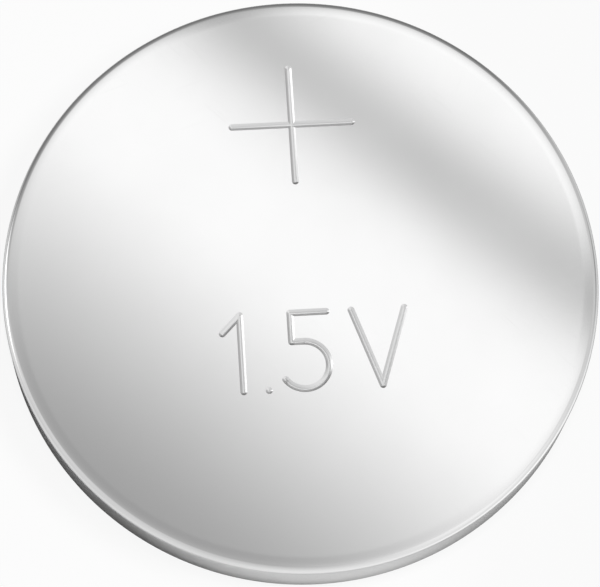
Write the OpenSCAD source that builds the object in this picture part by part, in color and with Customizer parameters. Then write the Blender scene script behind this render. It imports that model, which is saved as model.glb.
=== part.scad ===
// Lithium coin cell of the flat 16 mm size, in millimetres.
// It rests on its negative contact with the positive face up.
// Origin: centre of the negative contact face, with +Z up through the cell.
// +Y is the upward direction of the marks stamped in the positive face.

/* [Cell] */
// Overall diameter of the cell
cell_d = 16; // [12:0.5:24]
// Overall height between the two contact faces
cell_h = 2; // [1.8:0.1:3.2]

/* [Positive can] */
// Sheet thickness of the can
can_t = 0.2; // [0.15:0.01:0.22]
// Outside radius of the drawn shoulder
shoulder_r = 0.24; // [0.23:0.01:0.3]
// Outside radius of the rolled lip
lip_r = 0.35; // [0.3:0.01:0.4]
// Width of the lip, from the cell's side to its cut edge
lip_w = 0.75; // [0.6:0.05:0.8]
// Height of the lip above the negative contact face
lip_rise = 0.1; // [0.05:0.01:0.15]

/* [Negative cap] */
// Sheet thickness of the cap
cap_t = 0.2; // [0.15:0.01:0.22]
// Distance from the cell's side to the step of the contact
contact_inset = 1.3; // [1.2:0.05:2]
// Outside radius of the contact's edge
contact_edge_r = 0.3; // [0.23:0.01:0.32]
// Inside radius of the bend between the step and the flange
bend_r = 0.08; // [0.05:0.01:0.1]
// Height of the flange's underside above the contact face
flange_rise = 0.55; // [0.5:0.01:0.6]
// Outside radius of the bend between the flange and the skirt
skirt_bend_r = 0.3; // [0.23:0.01:0.32]

/* [Sealing gasket] */
// Thickness of the gasket between the can's wall and the cap's skirt
gasket_t = 0.3; // [0.25:0.01:0.35]
// Thickness of the gasket over the end of the skirt
gasket_floor_t = 0.25; // [0.2:0.01:0.35]
// Thickness of the inner leg, inside the skirt
leg_t = 0.2; // [0.15:0.01:0.25]
// Height of the inner leg, from the can's inner face
leg_h = 0.7; // [0.5:0.05:0.75]
// Gap between the gasket's visible edge and the cap's step
nose_gap = 0.15; // [0.12:0.01:0.2]
// Depth to which the visible edge swells down past the lip's inner face
nose_drop = 0.12; // [0.05:0.01:0.15]

/* [Electrodes] */
// Height by which the negative pellet stands above the cap's flange
pellet_proud = 0.1; // [0.04:0.01:0.2]
// Thickness of the separator
separator_t = 0.15; // [0.1:0.01:0.2]
// Thickness of the current collector on the can's inner face
collector_t = 0.05; // [0.04:0.01:0.1]
// Gap around each pellet
pellet_gap = 0.1; // [0.05:0.01:0.3]
// Gap around the separator
separator_gap = 0.05; // [0.03:0.01:0.1]

/* [Marks on the positive face] */
// Width of a stamped stroke
stroke_w = 0.19; // [0.14:0.01:0.3]
// Depth of the stamping
stroke_depth = 0.05; // [0.02:0.01:0.08]
// Length of each bar of the plus sign
plus_len = 3.25; // [2:0.05:4]
// Distance of the plus sign's upper end from the cell's side
plus_inset = 2; // [1.5:0.1:2.5]
// Height of the figures
figure_h = 2.1; // [1.2:0.1:2.4]
// Distance of the figures' centre line below the cell's axis
figure_drop = 2; // [0.5:0.1:2.2]

/* [Hidden] */
$fn = 96;

// Extra reach of a cut past the face that it opens
over = 1;
cell_r = cell_d / 2;
can_in_r = cell_r - can_t;
can_in_top = cell_h - can_t;
lip_top = lip_rise + can_t;
lip_edge_x = cell_r - lip_w;

step_r = cell_r - contact_inset;
skirt_r = can_in_r - gasket_t;
skirt_in_r = skirt_r - cap_t;
skirt_top = can_in_top - gasket_floor_t;
flange_top = flange_rise + cap_t;

leg_in_r = skirt_in_r - leg_t;
leg_bottom = can_in_top - leg_h;
nose_in_r = step_r + nose_gap;
nose_bottom = lip_top - nose_drop;

negative_pellet_t = flange_rise + pellet_proud;
negative_pellet_r = step_r - contact_edge_r - pellet_gap;
separator_r = leg_in_r - separator_gap;
positive_pellet_r = leg_in_r - pellet_gap;
separator_z = cap_t + negative_pellet_t;
positive_pellet_z = separator_z + separator_t;
collector_z = can_in_top - collector_t;

plus_y = cell_r - plus_inset - plus_len / 2;

// Widths and places of the figures, as shares of their height
figure_w = 0.46 * figure_h;
letter_w = 0.68 * figure_h;
figure_space = 0.32 * figure_h;
bowl_r = 0.31 * figure_h;
// Angle at which the bowl of the five ends, from +X
bowl_end = 215;

// A flat run of sheet in the section, from one corner to the other
module run(x0, x1, z0, z1) {
    translate([x0, z0]) square([x1 - x0, z1 - z0]);
}

// A quarter bend of sheet in the section, turned outwards or inwards
// and up or down from its centre
module bend(x, z, outer_r, t, side_x, side_z) {
    translate([x, z]) intersection() {
        difference() {
            circle(outer_r);
            circle(outer_r - t);
        }
        translate([side_x < 0 ? -outer_r : 0, side_z < 0 ? -outer_r : 0]) square(outer_r);
    }
}

// The section of a disc with a rounded lower corner, and a rounded upper one if asked
module disc_section(radius, z0, z1, low_r, high_r) {
    run(0, radius, z0 + low_r, z1 - high_r);
    run(0, radius - low_r, z0, z0 + low_r);
    translate([radius - low_r, z0 + low_r]) circle(low_r);
    if (high_r > 0) {
        run(0, radius - high_r, z1 - high_r, z1);
        translate([radius - high_r, z1 - high_r]) circle(high_r);
    }
}

// Straight stamped bar with square ends, between two points of the face
module bar(x0, y0, x1, y1) {
    translate([x0, y0]) rotate(atan2(y1 - y0, x1 - x0))
        translate([0, -stroke_w / 2]) square([norm([x1 - x0, y1 - y0]), stroke_w]);
}

// Straight stamped stroke with round ends, between two points of the face
module stroke(x0, y0, x1, y1) {
    bar(x0, y0, x1, y1);
    translate([x0, y0]) circle(stroke_w / 2);
    translate([x1, y1]) circle(stroke_w / 2);
}

// Curved stamped stroke with square ends around a point of the face, open between two angles
module stroke_bowl(x, y, radius, open_from, open_to) {
    reach = 3 * radius;
    middle = (open_from + open_to) / 2;
    translate([x, y]) difference() {
        circle(radius + stroke_w / 2);
        circle(radius - stroke_w / 2);
        polygon([
            [0, 0],
            reach * [cos(open_from), sin(open_from)],
            reach * [cos(middle), sin(middle)],
            reach * [cos(open_to), sin(open_to)]
        ]);
    }
}

// Plus sign of the positive pole
module plus_mark() {
    stroke(-plus_len / 2, plus_y, plus_len / 2, plus_y);
    stroke(0, plus_y - plus_len / 2, 0, plus_y + plus_len / 2);
}

// Plain figures of the nominal voltage: one, point, five and the unit
module voltage_mark() {
    low = -figure_drop - figure_h / 2;
    high = low + figure_h;
    total = 2 * figure_w + letter_w + 3 * figure_space;
    one_x = -total / 2 + figure_w;
    point_x = one_x + figure_space;
    five_x = point_x + figure_space;
    unit_x = five_x + figure_w + figure_space;
    bowl_top = low + 2 * bowl_r;
    bowl_x = five_x + figure_w - bowl_r;
    stroke(one_x, low, one_x, high);
    stroke(one_x - figure_w / 2, high - figure_w / 2, one_x, high);
    translate([point_x, low]) circle(stroke_w / 2);
    stroke(five_x, high, five_x + figure_w, high);
    stroke(five_x, high, five_x, bowl_top);
    bar(five_x, bowl_top, bowl_x, bowl_top);
    stroke_bowl(bowl_x, low + bowl_r, bowl_r, 90, bowl_end);
    stroke(unit_x, high, unit_x + letter_w / 2, low);
    stroke(unit_x + letter_w / 2, low, unit_x + letter_w, high);
}

// The stamping of both marks in the positive face
module stamping() {
    translate([0, 0, cell_h - stroke_depth]) linear_extrude(stroke_depth + over) {
        plus_mark();
        voltage_mark();
    }
}

// Drawn stainless can: face, shoulder, wall and lip rolled in under the rim
module positive_can() {
    color("gainsboro") difference() {
        rotate_extrude() {
            run(0, cell_r - shoulder_r, can_in_top, cell_h);
            bend(cell_r - shoulder_r, cell_h - shoulder_r, shoulder_r, can_t, 1, 1);
            run(can_in_r, cell_r, lip_rise + lip_r, cell_h - shoulder_r);
            bend(cell_r - lip_r, lip_rise + lip_r, lip_r, can_t, 1, -1);
            run(lip_edge_x, cell_r - lip_r, lip_rise, lip_top);
        }
        stamping();
    }
}

// Section of the slot in the gasket that holds the cap's flange and skirt
module skirt_slot() {
    difference() {
        disc_section(skirt_r, flange_rise, skirt_top, skirt_bend_r, 0);
        run(0, skirt_in_r, leg_bottom, skirt_top);
    }
}

// Moulded polypropylene ring that insulates the cap from the can and seals it
module sealing_gasket() {
    color("dimgray") rotate_extrude() difference() {
        union() {
            disc_section(can_in_r, lip_top, can_in_top, lip_r - can_t, shoulder_r - can_t);
            run(nose_in_r, lip_edge_x, nose_bottom, lip_top);
        }
        run(0, nose_in_r, 0, flange_rise);
        run(0, leg_in_r, flange_rise, can_in_top);
        skirt_slot();
    }
}

// Stepped stainless cap: contact, step, flange and skirt
module negative_cap() {
    color("silver") rotate_extrude() {
        run(0, step_r - contact_edge_r, 0, cap_t);
        bend(step_r - contact_edge_r, contact_edge_r, contact_edge_r, cap_t, 1, -1);
        run(step_r - cap_t, step_r, contact_edge_r, flange_rise - bend_r);
        bend(step_r + bend_r, flange_rise - bend_r, bend_r + cap_t, cap_t, -1, 1);
        run(step_r + bend_r, skirt_r - skirt_bend_r, flange_rise, flange_top);
        bend(skirt_r - skirt_bend_r, flange_rise + skirt_bend_r, skirt_bend_r, cap_t, 1, -1);
        run(skirt_in_r, skirt_r, flange_rise + skirt_bend_r, skirt_top);
    }
}

// Pressed disc that takes up lithium on charging
module negative_pellet() {
    color("dimgray") translate([0, 0, cap_t]) cylinder(h = negative_pellet_t, r = negative_pellet_r);
}

// Porous sheet between the two pellets
module separator() {
    color("whitesmoke") translate([0, 0, separator_z]) cylinder(h = separator_t, r = separator_r);
}

// Pressed oxide disc of the positive pole
module positive_pellet() {
    color("darkslategray") translate([0, 0, positive_pellet_z])
        cylinder(h = collector_z - positive_pellet_z, r = positive_pellet_r);
}

// Thin disc that joins the positive pellet to the can's inner face
module positive_collector() {
    color("lightgray") translate([0, 0, collector_z]) cylinder(h = collector_t, r = positive_pellet_r);
}

positive_can();
sealing_gasket();
negative_cap();
negative_pellet();
separator();
positive_pellet();
positive_collector();
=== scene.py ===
# %% [markdown]
# A flat lithium coin cell. The real cell is a drawn steel can, a stepped steel cap and a
# plastic ring that seals one in the other, with pressed discs of powder between them.
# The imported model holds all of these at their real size. This file gives each its finish,
# and remakes the round sheet pieces with more steps, so that bright steel reflects smoothly.

# %% The frame
import math

import bmesh
import bpy
from mathutils import Matrix, Vector


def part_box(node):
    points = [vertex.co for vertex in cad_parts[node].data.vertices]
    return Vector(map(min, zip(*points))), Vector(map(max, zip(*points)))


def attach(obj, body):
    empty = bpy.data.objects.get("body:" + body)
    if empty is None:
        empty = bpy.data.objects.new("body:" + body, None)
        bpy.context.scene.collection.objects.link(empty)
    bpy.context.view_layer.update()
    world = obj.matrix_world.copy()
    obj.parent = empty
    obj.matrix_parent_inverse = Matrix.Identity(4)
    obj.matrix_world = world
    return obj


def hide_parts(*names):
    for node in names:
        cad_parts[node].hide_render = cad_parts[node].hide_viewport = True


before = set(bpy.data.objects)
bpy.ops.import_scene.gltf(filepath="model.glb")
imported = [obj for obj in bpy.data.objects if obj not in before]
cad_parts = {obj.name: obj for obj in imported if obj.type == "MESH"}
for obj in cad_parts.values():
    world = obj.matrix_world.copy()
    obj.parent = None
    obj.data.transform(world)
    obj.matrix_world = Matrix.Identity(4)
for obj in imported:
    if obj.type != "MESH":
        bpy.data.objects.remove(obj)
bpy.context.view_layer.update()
can_low, can_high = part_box("positive_can")
print("cell across", round((can_high.x - can_low.x) * 1000, 3), "mm")


# %% [markdown]
# Every length is written in millimetres, as a drawing gives it, and one function turns it
# into Blender's metres. The overall sizes come from the frame. The others are the sheet
# sizes and bends of the real pieces.

# %% Sizes
def mm(length):
    return length / 1000


CELL_R = round((can_high.x - can_low.x) / 2, 5)
CELL_H = round(can_high.z, 5)
CAN_T = mm(0.2)
SHOULDER_R = mm(0.24)
# The face rolls off this steeply, in degrees, before the tight bend of the shoulder
ROLL_OFF = 8
ROLL_OFF_W = mm(0.25)
TIGHT_R = mm(0.19)
LIP_R = mm(0.35)
LIP_W = mm(0.75)
LIP_RISE = mm(0.1)
# The edge that the press leaves on the lip, and on the gasket beside it
LIP_BREAK = mm(0.03)
CAP_T = mm(0.2)
CONTACT_INSET = mm(1.3)
CONTACT_EDGE_R = mm(0.3)
BEND_R = mm(0.08)
FLANGE_RISE = mm(0.55)
SKIRT_BEND_R = mm(0.3)
GASKET_T = mm(0.3)
GASKET_FLOOR_T = mm(0.25)
LEG_T = mm(0.2)
LEG_H = mm(0.7)
NOSE_GAP = mm(0.15)
NOSE_DROP = mm(0.12)
NOSE_R = mm(0.05)
print("cell", round(CELL_R * 2000, 2), "mm across,", round(CELL_H * 1000, 2), "mm high")


# %% [markdown]
# A turned piece starts as a few corners of its section, which a full spin carries round the
# axis. Each corner is then bevelled to its own bend radius, as a press bends the sheet.
# A subdivision surface could round the corners too, but a bevel keeps the true radius. The
# bevel is told where the bend starts, and bend_start works that out from radius and turn.

# %% Turned pieces
AROUND = 256
CORNER_STEPS = 8
# Corners this close are one corner, and a loop is looked for within this distance
MERGE, NEAR = mm(0.0005), mm(0.002)


def bend_start(radius, degrees):
    """Distance from a corner to the start of a bend that turns by so many degrees."""
    return radius * math.tan(math.radians(degrees) / 2)


def ring_edges(bm, radius, height):
    """The edges of the loop that runs round the axis at this radius and height."""

    def on_loop(vert):
        return abs(vert.co.xy.length - radius) < NEAR and abs(vert.co.z - height) < NEAR

    return [e for e in bm.edges if on_loop(e.verts[0]) and on_loop(e.verts[1])]


def turned(corners, closed):
    """Spins a section of (radius, height) corners and rounds each that has a third value."""
    bm = bmesh.new()
    verts = [bm.verts.new((c[0], 0, c[1])) for c in corners]
    edges = [bm.edges.new(pair) for pair in zip(verts, verts[1:])]
    if closed:
        edges.append(bm.edges.new((verts[-1], verts[0])))
    bmesh.ops.spin(bm, geom=verts + edges, cent=(0, 0, 0), axis=(0, 0, 1),
                   angle=2 * math.pi, steps=AROUND, use_merge=True)
    bmesh.ops.remove_doubles(bm, verts=bm.verts, dist=MERGE)
    if not closed:
        rims = [e for e in bm.edges if e.is_boundary]
        bmesh.ops.holes_fill(bm, edges=rims, sides=0)
    for corner in corners:
        if len(corner) == 3:
            bmesh.ops.bevel(bm, geom=ring_edges(bm, corner[0], corner[1]), offset=corner[2],
                            offset_type="OFFSET", segments=CORNER_STEPS, profile=0.5,
                            affect="EDGES", material=-1, clamp_overlap=False)
    bmesh.ops.recalc_face_normals(bm, faces=bm.faces)
    return bm


def finished(bm, name, sharp_degrees=35):
    """Turns the bmesh into a shown piece that rides on the cell."""
    mesh = bpy.data.meshes.new(name)
    bm.to_mesh(mesh)
    bm.free()
    mesh.polygons.foreach_set("use_smooth", [True] * len(mesh.polygons))
    mesh.set_sharp_from_angle(angle=math.radians(sharp_degrees))
    piece = bpy.data.objects.new(name, mesh)
    bpy.context.scene.collection.objects.link(piece)
    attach(piece, "root")
    print(name, len(mesh.polygons), "faces")
    return piece


# %% [markdown]
# The can is one sheet: face, shoulder, wall and the lip rolled in under the rim. Its section
# is the sheet's outline. A drawn sheet doesn't turn sharply, so the face rolls off a little
# before the shoulder, and bright steel shows that as a soft tone along the rim. Extra corners
# without a bend, close beside each bend, keep its smooth shading out of the flat face and
# the straight wall.

# %% The can
SUPPORT = mm(0.05)
# The tight bend starts a little past the end of the roll-off, by this factor
BEND_GAP = 1.04


def can_section():
    inside_r = CELL_R - CAN_T
    inside_top = CELL_H - CAN_T
    lip_top = LIP_RISE + CAN_T
    lip_edge = CELL_R - LIP_W
    crown = bend_start(ROLL_OFF_W / math.sin(math.radians(ROLL_OFF)), ROLL_OFF)
    tight = bend_start(TIGHT_R, 90 - ROLL_OFF)
    slope_w = crown + tight * BEND_GAP
    return [
        (CELL_R - slope_w - crown - SUPPORT, CELL_H),
        (CELL_R - slope_w, CELL_H, crown),
        (CELL_R, CELL_H - slope_w * math.tan(math.radians(ROLL_OFF)), tight),
        (CELL_R, CELL_H - SHOULDER_R - SUPPORT),
        (CELL_R, LIP_RISE + LIP_R + SUPPORT),
        (CELL_R, LIP_RISE, LIP_R),
        (CELL_R - LIP_R - SUPPORT, LIP_RISE),
        (lip_edge, LIP_RISE, LIP_BREAK),
        (lip_edge, lip_top, LIP_BREAK),
        (inside_r, lip_top, LIP_R - CAN_T),
        (inside_r, inside_top, SHOULDER_R - CAN_T),
        (inside_r - SUPPORT * 2, inside_top),
    ]


can_shell = turned(can_section(), closed=False)
print("can section spun to", len(can_shell.faces), "faces")

# %% [markdown]
# The marks are pressed into the face: a plus sign for the pole and plain figures for the
# voltage. A punch with sloping flanks leaves each stroke as a shallow trough. Here each
# stroke is a cutter of that shape, and one boolean takes all the cutters out of the can.
# Painted lines would be quicker, but only a real trough catches the light on one flank.

# %% The punch
STROKE_W = mm(0.19)
STROKE_DEPTH = mm(0.05)
PLUS_LEN = mm(3.25)
PLUS_INSET = mm(2)
FIGURE_H = mm(2.1)
FIGURE_DROP = mm(2)
FIGURE_W = 0.46 * FIGURE_H
LETTER_W = 0.68 * FIGURE_H
SPACE = 0.32 * FIGURE_H
# The bowl of the five runs from its tip to a little past its top, in degrees
BOWL_FROM, BOWL_TO = -145, 92
BOWL_R = 0.31 * FIGURE_H
BOWL_STEPS = 40
END_STEPS = 20
# The length of a stroke that is only a dot
DOT_LEN = mm(0.001)
FLOOR_Z = CELL_H - STROKE_DEPTH
# How far each flank reaches in from the stroke's side, and the small bend at its foot
FLANK_W = mm(0.068)
FOOT_BEND = mm(0.02)
FOOT_STEPS = 3
# The punch starts this far above the face, and is wider there, so that its flanks cut the
# face at an angle and leave the stroke at its own width
CLEAR_H = mm(0.005)
CLEAR_W = CLEAR_H * FLANK_W / STROKE_DEPTH
PUNCH_Z = CELL_H + CLEAR_H
PUNCH_H = mm(0.1)
PUNCH_W = STROKE_W + 2 * CLEAR_W
# A face of the punch is a flank where its normal stands less upright than this
UPRIGHT = 0.99


def punch(bm):
    """Raises the flat outline in bm to a punch and draws its floor down between flanks."""
    floor_faces = bm.faces[:]
    up = bmesh.ops.extrude_face_region(bm, geom=floor_faces)
    raised = [g for g in up["geom"] if isinstance(g, bmesh.types.BMVert)]
    bmesh.ops.translate(bm, verts=raised, vec=(0, 0, PUNCH_H))
    bmesh.ops.recalc_face_normals(bm, faces=bm.faces)
    bmesh.ops.inset_region(bm, faces=floor_faces, thickness=FLANK_W + CLEAR_W,
                           depth=STROKE_DEPTH + CLEAR_H, use_even_offset=True)
    low = min(vert.co.z for vert in bm.verts) + NEAR
    foot = [e for e in bm.edges if e.verts[0].co.z < low and e.verts[1].co.z < low
            and any(abs(face.normal.z) < UPRIGHT for face in e.link_faces)]
    bmesh.ops.bevel(bm, geom=foot, offset=FOOT_BEND, offset_type="OFFSET", segments=FOOT_STEPS,
                    profile=0.5, affect="EDGES", material=-1)
    mesh = bpy.data.meshes.new("punch")
    bm.to_mesh(mesh)
    bm.free()
    return bpy.data.objects.new("punch", mesh)


def stroke(start, end):
    """A straight punch with round ends: a disc whose far half is slid to the end."""
    bm = bmesh.new()
    reach = Vector(end) - Vector(start)
    turn = math.pi / END_STEPS
    bmesh.ops.create_circle(bm, cap_ends=True, segments=END_STEPS, radius=PUNCH_W / 2,
                            matrix=Matrix.Rotation(turn, 4, "Z"))
    ahead = [v for v in bm.verts if v.co.x > 0]
    bmesh.ops.translate(bm, verts=ahead, vec=(reach.length, 0, 0))
    place = Matrix.Translation((start[0], start[1], PUNCH_Z))
    place = place @ Matrix.Rotation(math.atan2(reach.y, reach.x), 4, "Z")
    bmesh.ops.transform(bm, matrix=place, verts=bm.verts)
    return punch(bm)


def bowl(centre, radius, first, last):
    """A curved punch: an edge across the stroke, spun round the bowl's centre."""
    bm = bmesh.new()
    across = [bm.verts.new((radius + side * PUNCH_W / 2, 0, 0)) for side in (-1, 1)]
    edge = bm.edges.new(across)
    start = Matrix.Rotation(math.radians(first), 4, "Z")
    bmesh.ops.transform(bm, matrix=start, verts=bm.verts)
    bmesh.ops.spin(bm, geom=across + [edge], cent=(0, 0, 0), axis=(0, 0, 1),
                   angle=math.radians(last - first), steps=BOWL_STEPS)
    bmesh.ops.translate(bm, verts=bm.verts, vec=(centre[0], centre[1], PUNCH_Z))
    return punch(bm)


def plus_punches():
    middle = CELL_R - PLUS_INSET - PLUS_LEN / 2
    arm = PLUS_LEN / 2
    return [stroke((-arm, middle), (arm, middle)), stroke((0, middle - arm), (0, middle + arm))]


def dot_punch(x, y):
    return stroke((x, y), (x + DOT_LEN, y))


def figure_punches():
    low = -FIGURE_DROP - FIGURE_H / 2
    high = low + FIGURE_H
    one = -(2 * FIGURE_W + LETTER_W + 3 * SPACE) / 2 + FIGURE_W
    point = one + SPACE
    five = point + SPACE
    unit = five + FIGURE_W + SPACE
    bowl_x, bowl_y = five + FIGURE_W - BOWL_R, low + BOWL_R
    bowl_top = low + 2 * BOWL_R
    tip = math.radians(BOWL_FROM)
    return [
        stroke((one, low), (one, high)),
        stroke((one - FIGURE_W / 2, high - FIGURE_W / 2), (one, high)),
        dot_punch(point, low),
        stroke((five, high), (five + FIGURE_W, high)),
        stroke((five, high), (five, bowl_top)),
        stroke((five, bowl_top), (bowl_x, bowl_top)),
        bowl((bowl_x, bowl_y), BOWL_R, BOWL_FROM, BOWL_TO),
        dot_punch(bowl_x + BOWL_R * math.cos(tip), bowl_y + BOWL_R * math.sin(tip)),
        stroke((unit, high), (unit + LETTER_W / 2, low)),
        stroke((unit + LETTER_W / 2, low), (unit + LETTER_W, high)),
    ]


# %% [markdown]
# All the punches go into one collection, so that one cut takes them out of the can together.
# Strokes that cross then share one floor. The exact solver is slower than the fast one, but
# it copes with floors that lie in one plane.

# %% Stamping the can
# Edges that turn more than this stay sharp, so that each flank keeps its own reflection
STAMPED_SHARP = 25


def stamp(bm, punches):
    """Takes every punch out of the bmesh and gives back a stamped bmesh."""
    mesh = bpy.data.meshes.new("blank")
    bm.to_mesh(mesh)
    bm.free()
    blank = bpy.data.objects.new("blank", mesh)
    rack = bpy.data.collections.new("punches")
    bpy.context.scene.collection.objects.link(blank)
    bpy.context.scene.collection.children.link(rack)
    for tool in punches:
        rack.objects.link(tool)
    cut = blank.modifiers.new("stamp", "BOOLEAN")
    cut.operation, cut.solver, cut.operand_type = "DIFFERENCE", "EXACT", "COLLECTION"
    cut.collection = rack
    cut.use_self = True
    stamped = bmesh.new()
    stamped.from_object(blank, bpy.context.evaluated_depsgraph_get())
    for scrap in punches + [blank]:
        bpy.data.objects.remove(scrap)
    bpy.data.collections.remove(rack)
    return stamped


stamped_shell = stamp(can_shell, plus_punches() + figure_punches())
can = finished(stamped_shell, "can_shell", STAMPED_SHARP)
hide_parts("positive_can")

# %% [markdown]
# The cap is the second sheet: a flat contact, a step, a flange and a skirt that stands in
# the seal. Only the contact and the step are seen, from below.

# %% The cap
def cap_section():
    step_r = CELL_R - CONTACT_INSET
    skirt_r = CELL_R - CAN_T - GASKET_T
    skirt_top = CELL_H - CAN_T - GASKET_FLOOR_T
    flange_top = FLANGE_RISE + CAP_T
    return [
        (step_r - CONTACT_EDGE_R - SUPPORT, 0),
        (step_r, 0, CONTACT_EDGE_R),
        (step_r, FLANGE_RISE, BEND_R),
        (skirt_r, FLANGE_RISE, SKIRT_BEND_R),
        (skirt_r, skirt_top),
        (skirt_r - CAP_T, skirt_top),
        (skirt_r - CAP_T, flange_top, SKIRT_BEND_R - CAP_T),
        (step_r - CAP_T, flange_top, BEND_R + CAP_T),
        (step_r - CAP_T, CAP_T, CONTACT_EDGE_R - CAP_T),
        (step_r - CONTACT_EDGE_R - SUPPORT, CAP_T),
    ]


cap = finished(turned(cap_section(), closed=False), "contact_cap")
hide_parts("negative_cap")

# %% [markdown]
# The sealing ring is moulded plastic. It fills the space between the two sheets and swells
# a little where the lip squeezes it, so a thin dark ring shows between the lip and the cap.

# %% The seal
def seal_section():
    outer_r = CELL_R - CAN_T
    top = CELL_H - CAN_T
    lip_top = LIP_RISE + CAN_T
    lip_edge = CELL_R - LIP_W
    nose_r = CELL_R - CONTACT_INSET + NOSE_GAP
    skirt_r = outer_r - GASKET_T
    skirt_top = top - GASKET_FLOOR_T
    leg_r = skirt_r - CAP_T - LEG_T
    return [
        (nose_r, lip_top - NOSE_DROP, NOSE_R),
        (lip_edge, lip_top - NOSE_DROP, LIP_BREAK),
        (lip_edge, lip_top),
        (outer_r, lip_top, LIP_R - CAN_T),
        (outer_r, top, SHOULDER_R - CAN_T),
        (leg_r, top),
        (leg_r, top - LEG_H),
        (skirt_r - CAP_T, top - LEG_H),
        (skirt_r - CAP_T, skirt_top),
        (skirt_r, skirt_top),
        (skirt_r, FLANGE_RISE, SKIRT_BEND_R),
        (nose_r, FLANGE_RISE),
    ]


seal = finished(turned(seal_section(), closed=True), "seal_ring")
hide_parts("sealing_gasket")


# %% [markdown]
# Inside lie four discs: a pressed powder pellet for each pole, the separator between them and
# a thin collector on the can. A closed cell hides them, but a cut-open view shows them, so
# each is turned as well, with the small broken edge that its die or its cutter leaves.

# %% The discs inside
def disc_section(low, high, edge):
    radius = (high.x - low.x) / 2
    return [
        (radius - edge * 2, low.z),
        (radius, low.z, edge),
        (radius, high.z, edge),
        (radius - edge * 2, high.z),
    ]


# The CAD node, the piece that stands for it, its material slot and its broken edge
DISCS = [
    ("negative_pellet", "pressed_negative_disc", "negative_powder", mm(0.08)),
    ("separator", "felt_disc", "separator_felt", mm(0.04)),
    ("positive_pellet", "pressed_positive_disc", "positive_powder", mm(0.08)),
    ("positive_collector", "collector_disc", "collector_steel", mm(0.015)),
]
discs = {}
for node_name, piece_name, slot_name, edge in DISCS:
    section = disc_section(*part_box(node_name), edge)
    discs[node_name] = finished(turned(section, closed=False), piece_name)
    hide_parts(node_name)


# %% [markdown]
# Materials. Each starts from what the real one is. Colours are written as they look on a
# screen, and one function turns them to the linear values that Blender mixes.

# %% Colour and nodes
def colour(code):
    parts = [int(code[i:i + 2], 16) / 255 for i in (1, 3, 5)]
    linear = [p / 12.92 if p <= 0.04045 else ((p + 0.055) / 1.055) ** 2.4 for p in parts]
    return (*linear, 1)


WHITE = (1, 1, 1, 1)


def add(owner, kind, settings=None, inputs=None):
    """Adds a node to a material or a world.

    A setting is an attribute of the node. An input is a value or another node's socket.
    """
    node = owner.node_tree.nodes.new(kind)
    for name, value in (settings or {}).items():
        setattr(node, name, value)
    for name, value in (inputs or {}).items():
        if isinstance(value, bpy.types.NodeSocket):
            owner.node_tree.links.new(value, node.inputs[name])
        else:
            node.inputs[name].default_value = value
    return node


def ramped(owner, source, start, end, low=0.0, high=1.0, curve="LINEAR"):
    """Goes from low to high while the source goes from start to end."""
    return add(owner, "ShaderNodeMapRange", {"interpolation_type": curve},
               {"Value": source, "From Min": start, "From Max": end,
                "To Min": low, "To Max": high}).outputs["Result"]


def spread(owner, source, low, high):
    """A 0 to 1 pattern spread between two values."""
    return ramped(owner, source, 0.0, 1.0, low, high)


def maths(owner, operation, *values):
    """One step of arithmetic on values or sockets."""
    return add(owner, "ShaderNodeMath", {"operation": operation}, dict(enumerate(values))).outputs[0]


def vector_maths(owner, operation, *values):
    """One step of arithmetic on places, directions or colours."""
    return add(owner, "ShaderNodeVectorMath", {"operation": operation},
               dict(enumerate(values))).outputs["Vector"]


def dot(owner, first, second):
    """How far one direction reaches along another."""
    return add(owner, "ShaderNodeVectorMath", {"operation": "DOT_PRODUCT"},
               {0: first, 1: second}).outputs["Value"]


def distance(owner, place):
    """How far a place lies from the origin."""
    return add(owner, "ShaderNodeVectorMath", {"operation": "LENGTH"}, {0: place}).outputs["Value"]


def level_part(owner, place):
    """The same place or direction without its height."""
    return vector_maths(owner, "MULTIPLY", place, (1, 1, 0))


def mixed(owner, share, first, second):
    """One shader, with this share of a second."""
    return add(owner, "ShaderNodeMixShader", inputs={0: share, 1: first, 2: second}).outputs[0]


def blank_material(name):
    material = bpy.data.materials.new(name)
    material.use_nodes = True
    material.node_tree.nodes.clear()
    return material


def per_metre(size_mm):
    """Texture scale at which one cell of the pattern is this many millimetres."""
    return 1000 / size_mm


def noise(material, place, size_mm, detail=3.0):
    """A cloudy 0 to 1 pattern whose patches are about this size."""
    return add(material, "ShaderNodeTexNoise",
               inputs={"Vector": place, "Scale": per_metre(size_mm), "Detail": detail}).outputs["Fac"]


def streaks(material, place, degrees, width_mm, stretch=(50.0, 1.0, 1.0)):
    """The same pattern stretched into long lines that run at this angle."""
    along = add(material, "ShaderNodeMapping", {"vector_type": "TEXTURE"},
                {"Vector": place, "Rotation": (0.0, 0.0, math.radians(degrees)),
                 "Scale": stretch}).outputs["Vector"]
    return noise(material, along, width_mm)


def stronger(material, first, second, share=1.0):
    """One pattern plus a share of another."""
    return maths(material, "MULTIPLY_ADD", second, share, first)


def bumped(material, height, depth_mm):
    """The surface normal of a relief this deep."""
    return add(material, "ShaderNodeBump",
               inputs={"Distance": mm(depth_mm), "Height": height}).outputs["Normal"]


def between(material, share, first, second):
    """A colour between two, by a 0 to 1 pattern."""
    return add(material, "ShaderNodeMix", {"data_type": "RGBA"},
               {0: share, 6: colour(first), 7: colour(second)}).outputs[2]


def surface(material, inputs):
    shader = add(material, "ShaderNodeBsdfPrincipled", inputs=inputs)
    add(material, "ShaderNodeOutputMaterial", inputs={"Surface": shader.outputs["BSDF"]})
    return material


# %% [markdown]
# Nickel-plated stainless steel, drawn, stamped and tumbled. The tumbling leaves a satin skin
# that reflects clearly, but softly at the edges of what it reflects. Handling adds hairlines
# in all directions, and the drawing die leaves upright lines on the wall. Both are at most
# about a thousandth of a millimetre deep, so they only stir the reflection. Real hairlines
# are about 0.01 mm wide and would be lost in the picture, so they are drawn 0.04 mm wide.
# The strokes keep the rougher skin of the punch, because tumbling doesn't reach into them.

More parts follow.
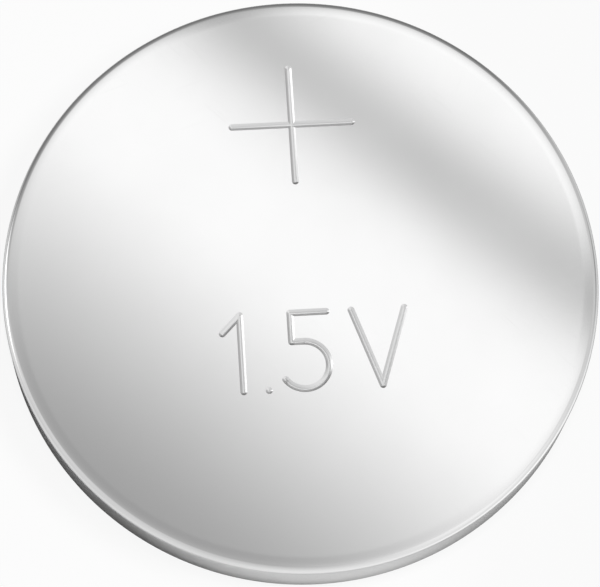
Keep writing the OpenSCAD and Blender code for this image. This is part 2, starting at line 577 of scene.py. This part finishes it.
# %% Satin nickel steel
HAIRLINE_ANGLES = (18, 71, 133)
HAIRLINE_MM = 0.04
# Only the peaks of a streaky pattern, from the first value up, show as hairlines
HAIRLINE_FROM, HAIRLINE_TO = 0.64, 0.74
HAIRLINE_RELIEF, HAIRLINE_STAIN = 0.5, 0.6
DRAW_LINE_MM = 0.09
DRAW_LINE_STRETCH = (1.0, 1.0, 40.0)
DRAW_LINE_SHARE = 6.0
# The draw lines come in between these distances inside the wall's surface
LINES_FROM, LINES_TO = mm(0.12), mm(0.02)
GRAIN_MM = 0.06
CLOUD_MM = 2.5
# Shares of the roughness in the clearest and the cloudiest patch, and what relief adds
ROUGH_CLEAR, ROUGH_CLOUDY, ROUGH_RELIEF = 0.8, 1.1, 0.1


def satin_steel(name, tint, stain, rough, relief_mm, wall_r):
    material = blank_material(name)
    place = add(material, "ShaderNodeTexCoord").outputs["Object"]
    cloud = noise(material, place, CLOUD_MM)
    grain = noise(material, place, GRAIN_MM, detail=4.0)
    hairlines = 0.0
    for degrees in HAIRLINE_ANGLES:
        line = streaks(material, place, degrees, HAIRLINE_MM)
        few = ramped(material, line, HAIRLINE_FROM, HAIRLINE_TO)
        hairlines = stronger(material, hairlines, few)
    relief = stronger(material, grain, hairlines, HAIRLINE_RELIEF)
    from_axis = distance(material, level_part(material, place))
    on_wall = ramped(material, from_axis, wall_r - LINES_FROM, wall_r - LINES_TO)
    # A pattern stretched along the height is a set of upright lines on the wall
    drawn = streaks(material, place, 0, DRAW_LINE_MM, stretch=DRAW_LINE_STRETCH)
    wall_lines = maths(material, "MULTIPLY", drawn, on_wall)
    relief = stronger(material, relief, wall_lines, DRAW_LINE_SHARE)
    clouded = spread(material, cloud, rough * ROUGH_CLEAR, rough * ROUGH_CLOUDY)
    roughness = stronger(material, clouded, spread(material, relief, 0.0, rough * ROUGH_RELIEF))
    stained = stronger(material, cloud, hairlines, HAIRLINE_STAIN)
    return surface(material, {
        "Base Color": between(material, stained, tint, stain), "Metallic": 1.0,
        "Roughness": roughness, "Normal": bumped(material, relief, relief_mm)})


def wear(piece, material):
    piece.data.materials.clear()
    piece.data.materials.append(material)
    print(piece.name, "wears", material.name)


# The marks lie within this radius, and their floors within this distance of their depth
MARKS_R = CELL_R * 0.9
FLOOR_SLACK = mm(0.005)


def in_stroke(face):
    """True for the faces that the punches left, between the can's face and the stroke floor."""
    middle = face.center
    in_depth = FLOOR_Z - FLOOR_SLACK < middle.z < CELL_H - MERGE
    return in_depth and middle.xy.length < MARKS_R


wear(can, satin_steel("satin_nickel_steel", "#D9D9D9", "#D5D5D5", 0.12, 0.0002, CELL_R))
can.data.materials.append(satin_steel("stamped_steel", "#D9D9D9", "#D2D2D2", 0.3, 0.001, CELL_R))
stamped_faces = [face for face in can.data.polygons if in_stroke(face)]
for face in stamped_faces:
    face.material_index = 1
print("stamped faces", len(stamped_faces))
wear(cap, satin_steel("satin_cap_steel", "#D9D9D9", "#C6C6C6", 0.16, 0.0004,
                      CELL_R - CONTACT_INSET))

# %% [markdown]
# The seal is injection-moulded polypropylene, which comes out of a spark-eroded mould with a
# fine even grain and a waxy half-gloss.

# %% Moulded polypropylene
POLYPROPYLENE_IOR = 1.49
MOTTLE_MM = 1.5


def moulded_polypropylene(name, tint, worn, grain_mm, relief_mm):
    material = blank_material(name)
    place = add(material, "ShaderNodeTexCoord").outputs["Object"]
    grain = noise(material, place, grain_mm)
    return surface(material, {
        "Base Color": between(material, noise(material, place, MOTTLE_MM), tint, worn),
        "Roughness": spread(material, grain, 0.4, 0.6), "IOR": POLYPROPYLENE_IOR,
        "Normal": bumped(material, grain, relief_mm)})


wear(seal, moulded_polypropylene("moulded_polypropylene", "#38393B", "#3F4042", 0.08, 0.006))


# %% [markdown]
# The pellets are powder pressed in a die. Each grain of powder keeps its own tone, and the
# pits between grains show as a dull, sandy skin. The real grains are a few hundredths of a
# millimetre wide, and are drawn at 0.07 mm so that a close view shows them.

# %% Pressed powder
DRIFT_MM = 1.2
# How much of the tone is each grain's own, and how much drifts from place to place
OWN_SHARE, DRIFT_SHARE = 0.6, 0.4


def pressed_powder(name, dark, light, grain_mm, relief_mm):
    material = blank_material(name)
    place = add(material, "ShaderNodeTexCoord").outputs["Object"]
    grains = add(material, "ShaderNodeTexVoronoi",
                 inputs={"Vector": place, "Scale": per_metre(grain_mm)}).outputs
    own_tone = add(material, "ShaderNodeSeparateColor",
                   inputs={"Color": grains["Color"]}).outputs["Red"]
    tone = stronger(material, spread(material, own_tone, 0.0, OWN_SHARE),
                    noise(material, place, DRIFT_MM), DRIFT_SHARE)
    dome = spread(material, grains["Distance"], 1.0, 0.0)
    return surface(material, {
        "Base Color": between(material, tone, dark, light),
        "Roughness": spread(material, own_tone, 0.8, 0.95),
        "Normal": bumped(material, dome, relief_mm)})


wear(discs["negative_pellet"],
     pressed_powder("pressed_titanate_powder", "#34353A", "#5A5C62", 0.07, 0.012))
wear(discs["positive_pellet"],
     pressed_powder("pressed_oxide_powder", "#1F1F23", "#39383B", 0.07, 0.012))


# %% [markdown]
# The separator is a felt of polypropylene fibres, laid in all directions and pressed flat.
# The fibres are drawn 0.03 mm wide, about their real width.

# %% Fibre felt
FIBRE_ANGLES = (5, 49, 94, 141)
PATCH_MM = 0.4
# The layers add up to a sum between these values
LAYERS_LOW, LAYERS_HIGH = 1.9, 3.1


def fibre_felt(name, shade, fibre, fibre_mm, relief_mm):
    material = blank_material(name)
    place = add(material, "ShaderNodeTexCoord").outputs["Object"]
    layers = noise(material, place, PATCH_MM)
    for degrees in FIBRE_ANGLES:
        lie = streaks(material, place, degrees, fibre_mm, stretch=(20.0, 1.0, 1.0))
        layers = stronger(material, layers, lie)
    weave = ramped(material, layers, LAYERS_LOW, LAYERS_HIGH)
    return surface(material, {
        "Base Color": between(material, weave, shade, fibre), "IOR": POLYPROPYLENE_IOR,
        "Roughness": spread(material, weave, 0.95, 0.8),
        "Normal": bumped(material, weave, relief_mm)})


wear(discs["separator"], fibre_felt("polypropylene_felt", "#C9C7C0", "#F1F0EB", 0.03, 0.02))


# %% [markdown]
# The collector is a disc of rolled stainless foil. The rolls leave fine lines that all run
# one way, so it is duller across the lines than along them.

# %% Rolled steel foil
def rolled_foil(name, tint, line_tint, line_mm, relief_mm):
    material = blank_material(name)
    place = add(material, "ShaderNodeTexCoord").outputs["Object"]
    lines = streaks(material, place, 0, line_mm, stretch=(100.0, 1.0, 1.0))
    return surface(material, {
        "Base Color": between(material, lines, tint, line_tint), "Metallic": 1.0,
        "Roughness": spread(material, lines, 0.25, 0.5),
        "Normal": bumped(material, lines, relief_mm)})


wear(discs["positive_collector"],
     rolled_foil("rolled_steel_foil", "#C6C5C2", "#A6A5A2", 0.04, 0.003))

# %% [markdown]
# The camera looks down at the face from 75 mm away, so the near part of the wall shows
# below the shoulder. The picture leans a little, so the camera is rolled about its view.

# %% Camera
PICTURE_W, PICTURE_H = 600, 587
CAMERA_DISTANCE = mm(75)
CAMERA_TILT = 16.74
CAMERA_BEARING = 260.1
CAMERA_ROLL = 6.6
PIXELS_PER_MM = 37.25
PIVOT_PIXEL = (301.4, 280.9)
SEEN_FROM, SEEN_TO = mm(1), mm(10000)


def place_camera():
    data = bpy.data.cameras.new("camera")
    camera = bpy.data.objects.new("camera", data)
    bpy.context.scene.collection.objects.link(camera)
    tilt, bearing = math.radians(CAMERA_TILT), math.radians(CAMERA_BEARING)
    back = Vector((math.sin(tilt) * math.cos(bearing), math.sin(tilt) * math.sin(bearing),
                   math.cos(tilt)))
    turn = (-back).to_track_quat("-Z", "Y") @ Matrix.Rotation(
        math.radians(CAMERA_ROLL), 3, "Z").to_quaternion()
    across = turn @ Vector((1, 0, 0))
    up = turn @ Vector((0, 1, 0))
    pivot = Vector((0, 0, CELL_H - SHOULDER_R))
    off_x = mm((PIVOT_PIXEL[0] - PICTURE_W / 2) / PIXELS_PER_MM)
    off_y = mm((PIVOT_PIXEL[1] - PICTURE_H / 2) / PIXELS_PER_MM)
    camera.location = pivot + back * CAMERA_DISTANCE - across * off_x + up * off_y
    camera.rotation_mode = "QUATERNION"
    camera.rotation_quaternion = turn
    focal_pixels = PIXELS_PER_MM * CAMERA_DISTANCE * 1000
    data.lens = focal_pixels / PICTURE_W * data.sensor_width
    data.clip_start, data.clip_end = SEEN_FROM, SEEN_TO
    bpy.context.scene.camera = camera
    print("camera at", [round(c * 1000, 2) for c in camera.location], "mm")


place_camera()

# %% [markdown]
# The floor is pale and wide. To the camera it glows, so that it comes out white without more
# light on the cell, and it keeps a little of the cell's shadow. The steel mirrors it too.
# Close to the cell the wall sees bare paper, bright in the lamp's light and grey in the cell's own
# shade. On top of that, painted shade darkens the paper in a thin ring under the rim and towards the
# right, so the wall mirrors darker strips there. Further off it sees the same tones as the studio has
# in that direction.

# %% Floor
FLOOR_REACH = mm(1500)
GLOW_TO_CAMERA = 0.92
# The steel sees the bare paper within this distance of the axis, and the glow beyond it
PAPER_TO, GLOW_FROM = mm(8.6), mm(12.5)
# How much light the paper gives back under the cell, the darker tone of the painted shade to its
# right, which the wall mirrors, and the places between which that painted shade comes in
PAPER_TONE, PAINTED_SHADE_TONE_RIGHT = 0.75, 0.5
PAINTED_SHADE_FROM, PAINTED_SHADE_TO = mm(1.5), mm(5.5)
# Painted shade under the rim: within the first radius the paper's tone is painted down to this share,
# and from the second radius on it keeps all of it
PAINTED_RIM_SHADE = 0.25
RIM_SHADE_R, RIM_CLEAR_R = mm(7.95), mm(8.2)
BRIGHT_SIDE = (0.139, -0.990, 0.0)
# Two windows, at the near right and the left: which way each lies, the light that it adds
# there, and how tightly the light keeps to that direction
WINDOWS = [((0.835, -0.550, 0.0), 0.46, 6.0), ((-0.994, -0.111, 0.0), 0.16, 4.0)]
STUDIO_LEVEL = 1.6
# Share of the way to the bright side, from -1 to 1, and the glow seen there in the steel
STUDIO_LIGHT = [
    (-1.0, 0.25), (-0.72, 0.25), (-0.6, 0.50), (-0.45, 0.76), (-0.3, 0.86),
    (0.0, 0.82), (0.5, 0.92), (0.67, 1.00), (0.85, 1.00), (1.0, 1.15),
]


def shown(name, bm, material):
    """Makes a stage object from a bmesh: it is lit and seen, but isn't part of the cell."""
    mesh = bpy.data.meshes.new(name)
    bm.to_mesh(mesh)
    bm.free()
    thing = bpy.data.objects.new(name, mesh)
    bpy.context.scene.collection.objects.link(thing)
    thing.data.materials.append(material)
    return thing


def light_ramp(owner, along, stops, level):
    """A grey ramp of light along a coordinate, through (place, strength) stops."""
    low, high = stops[0][0], stops[-1][0]
    ramp = add(owner, "ShaderNodeValToRGB", inputs={"Fac": ramped(owner, along, low, high)})
    elements = ramp.color_ramp.elements
    while len(elements) < len(stops):
        elements.new(0.5)
    for element, (place, strength) in zip(elements, stops):
        element.position = (place - low) / (high - low)
        element.color = (strength / level, strength / level, strength / level, 1)
    return ramp.outputs["Color"]


def ahead_of(owner, towards):
    """The level direction, of length 1, in which something lies."""
    return vector_maths(owner, "NORMALIZE", level_part(owner, towards))


def studio_walls(owner, ahead):
    """The grey that the studio's walls show in this direction, as seen in the steel."""
    return light_ramp(owner, dot(owner, ahead, BRIGHT_SIDE), STUDIO_LIGHT, STUDIO_LEVEL)


def with_lights(owner, towards, walls, lights, share=1.0):
    """The same grey with these lights on it, or with a share of their light."""
    for side, light, tight in lights:
        facing = maths(owner, "MAXIMUM", dot(owner, towards, side), 0.0)
        lobe = maths(owner, "POWER", facing, tight)
        dimmed = maths(owner, "MULTIPLY", lobe, share)
        walls = vector_maths(owner, "ADD", walls, spread(owner, dimmed, 0.0, light / STUDIO_LEVEL))
    return walls


def floor_material():
    material = blank_material("pale_floor")
    place = add(material, "ShaderNodeTexCoord").outputs["Object"]
    path = add(material, "ShaderNodeLightPath").outputs
    to_right = add(material, "ShaderNodeSeparateXYZ", inputs={"Vector": place}).outputs["X"]
    # Painted shade: the paper is painted darker towards the right, so that the wall there mirrors a
    # darker strip
    tone = ramped(material, to_right, PAINTED_SHADE_FROM, PAINTED_SHADE_TO, PAPER_TONE, PAINTED_SHADE_TONE_RIGHT,
                  curve="SMOOTHSTEP")
    away = distance(material, place)
    # Painted shade: a thin ring of paper under the rim is painted darker, for the lip to mirror as a
    # dark line
    painted_rim_shade_share = ramped(material, away, RIM_SHADE_R, RIM_CLEAR_R, low=PAINTED_RIM_SHADE)
    paper_with_painted_shade = maths(material, "MULTIPLY", tone, painted_rim_shade_share)
    paper = add(material, "ShaderNodeBsdfDiffuse", inputs={"Color": paper_with_painted_shade}).outputs["BSDF"]
    mirrored = maths(material, "MAXIMUM", path["Is Glossy Ray"], path["Is Transmission Ray"])
    beyond = ramped(material, away, PAPER_TO, GLOW_FROM, curve="SMOOTHSTEP")
    in_steel = maths(material, "MULTIPLY", mirrored, beyond)
    ahead = ahead_of(material, place)
    glow = with_lights(material, ahead, studio_walls(material, ahead), WINDOWS)
    steel_glow = add(material, "ShaderNodeEmission",
                     inputs={"Color": glow, "Strength": STUDIO_LEVEL}).outputs["Emission"]
    white_glow = add(material, "ShaderNodeEmission", inputs={"Color": WHITE}).outputs["Emission"]
    for_steel = mixed(material, in_steel, paper, steel_glow)
    to_camera = spread(material, path["Is Camera Ray"], 0.0, GLOW_TO_CAMERA)
    seen = mixed(material, to_camera, for_steel, white_glow)
    add(material, "ShaderNodeOutputMaterial", inputs={"Surface": seen})
    return material


floor_bm = bmesh.new()
bmesh.ops.create_grid(floor_bm, x_segments=1, y_segments=1, size=FLOOR_REACH)
shown("floor", floor_bm, floor_material())


# %% [markdown]
# Bright steel shows what stands around it, so its looks are made by what it mirrors. A large
# card hangs over the cell. It is white with one grey band across it, and it fades to grey at
# the near left. The camera doesn't see the card, but the face mirrors it.

# %% The card over the cell
CARD_Z = mm(45)
CARD_REACH = mm(42)
CARD_CORNERS = 64
CARD_LEVEL = 1.6
# The face mirrors a disc of the card. Outside it each tone runs straight outwards
FACE_ON_CARD = (mm(2.2), mm(12.6), CARD_Z)
FACE_ON_CARD_R = mm(12.8)
# The card fades from here outwards, so that the rolled edge of the face shades off softly
FADE_FROM = mm(14)
# Direction across the band, and the band's distance from the middle of the mirrored disc
ACROSS_BAND = (-0.668, -0.744, 0.0)
BAND_AWAY = 7.7
# Distance from the band in millimetres, and what the card gives off there
CARD_LIGHT = [
    (-6.0, 1.45), (-3.9, 1.45), (-2.9, 1.36), (-1.9, 1.05), (-0.9, 0.72), (0.0, 0.60),
    (0.95, 0.78), (1.9, 1.16), (2.8, 1.38), (3.9, 1.45), (8.8, 1.43), (11.7, 1.15),
    (13.4, 0.97), (16.0, 0.73), (18.5, 0.54), (20.0, 0.49), (21.0, 0.48),
]


def card_material():
    material = blank_material("overhead_card")
    place = add(material, "ShaderNodeTexCoord").outputs["Object"]
    from_middle = vector_maths(material, "SUBTRACT", place, FACE_ON_CARD)
    away = distance(material, from_middle)
    held = maths(material, "MINIMUM", maths(material, "DIVIDE", FACE_ON_CARD_R, away), 1.0)
    in_disc = vector_maths(material, "MULTIPLY", from_middle, held)
    across = dot(material, in_disc, ACROSS_BAND)
    in_mm = maths(material, "MULTIPLY_ADD", across, 1000.0, BAND_AWAY)
    tone = light_ramp(material, in_mm, CARD_LIGHT, CARD_LEVEL)
    light = add(material, "ShaderNodeEmission",
                inputs={"Color": tone, "Strength": CARD_LEVEL}).outputs["Emission"]
    clear = add(material, "ShaderNodeBsdfTransparent").outputs["BSDF"]
    fade = ramped(material, away, FADE_FROM, CARD_REACH, curve="SMOOTHSTEP")
    add(material, "ShaderNodeOutputMaterial",
        inputs={"Surface": mixed(material, fade, light, clear)})
    return material


def mirrored_only(thing):
    """Leaves a card to the reflections: the camera, the shadows and the floor miss it."""
    thing.visible_camera = False
    thing.visible_shadow = False
    thing.visible_diffuse = False
    thing.visible_transmission = False


card_bm = bmesh.new()
bmesh.ops.create_circle(card_bm, cap_ends=True, segments=CARD_CORNERS, radius=CARD_REACH,
                        matrix=Matrix.Translation(FACE_ON_CARD))
mirrored_only(shown("overhead_card", card_bm, card_material()))


# %% [markdown]
# Around the card the studio is bright on the near right and dark at the far side, which
# draws the bright line along the near shoulder and the dark one along the far rim. To the
# camera the world is white, and the light that it throws on the cell is even.

# %% The studio around
AMBIENT = 0.2
ABOVE = 0.75
# The windows stand high. Their light fades while the lowness of a direction, 0 straight up
# and 1 at the horizon, goes from the first value to the second. Near the horizon this share
# is left, because more would turn the face white in a view from low down
FADES_FROM, FADES_TO = 0.5, 0.95
LOW_WINDOW_SHARE = 0.2
# A small lamp at the left and a dark screen at the right, which takes light away. One flank
# of each upright stroke mirrors the lamp and the other the screen, so the strokes stand out
STROKE_LIGHTS = [((-0.890, 0.283, 0.359), 2.5, 60.0), ((0.923, 0.283, 0.265), -0.5, 60.0)]
# The camera sees the same white above the horizon as on the far floor
HORIZON_WHITE = 0.935


def background(world, tint, strength):
    return add(world, "ShaderNodeBackground",
               inputs={"Color": tint, "Strength": strength}).outputs["Background"]


def studio_world():
    world = bpy.data.worlds.new("studio")
    bpy.context.scene.world = world
    world.use_nodes = True
    world.node_tree.nodes.clear()
    path = add(world, "ShaderNodeLightPath").outputs
    towards = add(world, "ShaderNodeTexCoord").outputs["Generated"]
    level = level_part(world, towards)
    lowness = dot(world, level, level)
    ahead = ahead_of(world, towards)
    above = ABOVE / STUDIO_LEVEL
    grey = add(world, "ShaderNodeMix", {"data_type": "RGBA"},
               {0: lowness, 6: (above, above, above, 1), 7: studio_walls(world, ahead)}).outputs[2]
    share = ramped(world, lowness, FADES_FROM, FADES_TO, 1.0, LOW_WINDOW_SHARE)
    grey = with_lights(world, ahead, grey, WINDOWS, share)
    grey = with_lights(world, towards, grey, STROKE_LIGHTS)
    even = background(world, WHITE, AMBIENT)
    lit = mixed(world, path["Is Glossy Ray"], even, background(world, grey, STUDIO_LEVEL))
    white = background(world, WHITE, HORIZON_WHITE)
    seen = mixed(world, path["Is Camera Ray"], lit, white)
    add(world, "ShaderNodeOutputWorld", inputs={"Surface": seen})


studio_world()


# %% [markdown]
# One soft lamp from the right lights the floor. The cell's shade falls to the left, where
# the wall mirrors it and turns dark. The lamp itself stays out of the reflections.

# %% The lamp
LAMP_BEARING = -10
LAMP_HEIGHT = 62
LAMP_AWAY = mm(160)
LAMP_SIZE = mm(60)
LAMP_LIGHT = 0.72


def soft_lamp():
    bearing, height = math.radians(LAMP_BEARING), math.radians(LAMP_HEIGHT)
    towards = Vector((math.cos(height) * math.cos(bearing), math.cos(height) * math.sin(bearing),
                      math.sin(height)))
    data = bpy.data.lights.new("lamp", "AREA")
    data.shape, data.size = "DISK", LAMP_SIZE
    # This much power lights a white floor to LAMP_LIGHT, where 1 is white
    data.energy = LAMP_LIGHT * math.pi ** 2 * LAMP_AWAY ** 2 / math.sin(height)
    lamp = bpy.data.objects.new("lamp", data)
    lamp.location = towards * LAMP_AWAY
    lamp.rotation_mode = "QUATERNION"
    lamp.rotation_quaternion = (-towards).to_track_quat("-Z", "Y")
    lamp.visible_camera = False
    lamp.visible_glossy = False
    bpy.context.scene.collection.objects.link(lamp)


soft_lamp()
bpy.context.scene.view_settings.view_transform = "Standard"
